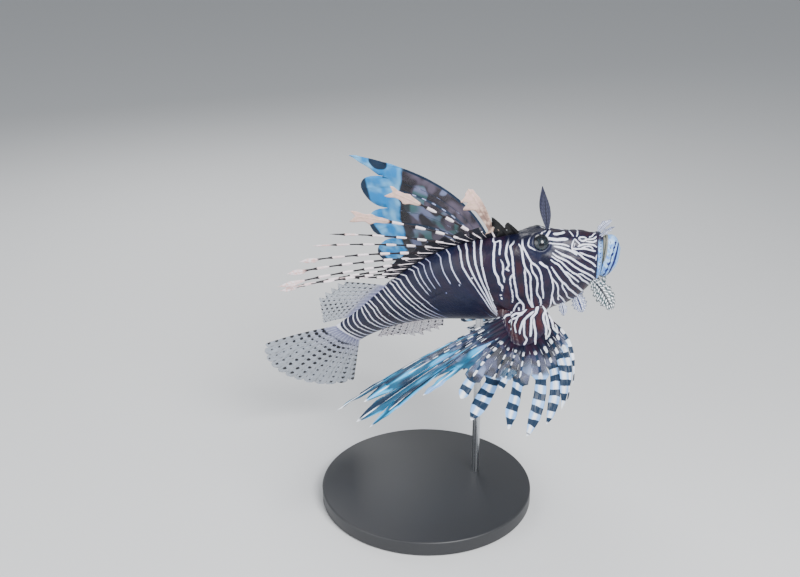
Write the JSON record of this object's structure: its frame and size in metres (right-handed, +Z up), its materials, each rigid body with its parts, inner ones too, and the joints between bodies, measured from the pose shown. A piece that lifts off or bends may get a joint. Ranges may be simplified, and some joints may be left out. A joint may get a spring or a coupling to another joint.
{
  "type": "red lionfish model",
  "caption": "Life-size still museum model of a red lionfish with spread fins, held by a plain round-footed display stand.",
  "frame": {"origin": "middle of the underside of the stand's round foot", "axes": "+Z up, +X the way the head points, +Y to the fish's left"},
  "size_m": [0.278, 0.2262, 0.2659],
  "materials": {
    "flesh": "wet striped skin of a museum cast",
    "fin": "thin banded fin membrane with raised rays",
    "flap": "soft pale skin flaps",
    "eye": "polished dark eye",
    "foot": "satin charcoal paint",
    "rod": "drawn bright rod"
  },
  "bodies": {
    "root": {"head": "flesh", "lower_jaw": "flesh", "trunk_front": "flesh", "trunk_rear": "flesh", "tail_peduncle": "flesh", "pectoral_base_left": "flesh", "pectoral_base_right": "flesh", "eye_left": "eye", "eye_right": "eye", "dorsal_fin_spiny": "fin", "dorsal_fin_soft": "fin", "anal_fin": "fin", "caudal_fin": "fin", "pectoral_fin_left": "fin", "pectoral_fin_right": "fin", "pelvic_fin_left": "fin", "pelvic_fin_right": "fin", "brow_tentacle_left": "flap", "brow_tentacle_right": "flap", "nose_flap_left": "flap", "nose_flap_right": "flap", "jaw_flap_left": "flap", "jaw_flap_right": "flap", "cheek_flap_left": "flap", "cheek_flap_right": "flap", "throat_flap_left": "flap", "throat_flap_right": "flap", "stand_base": "foot", "stand_rod": "rod"}
  },
  "joints": []
}
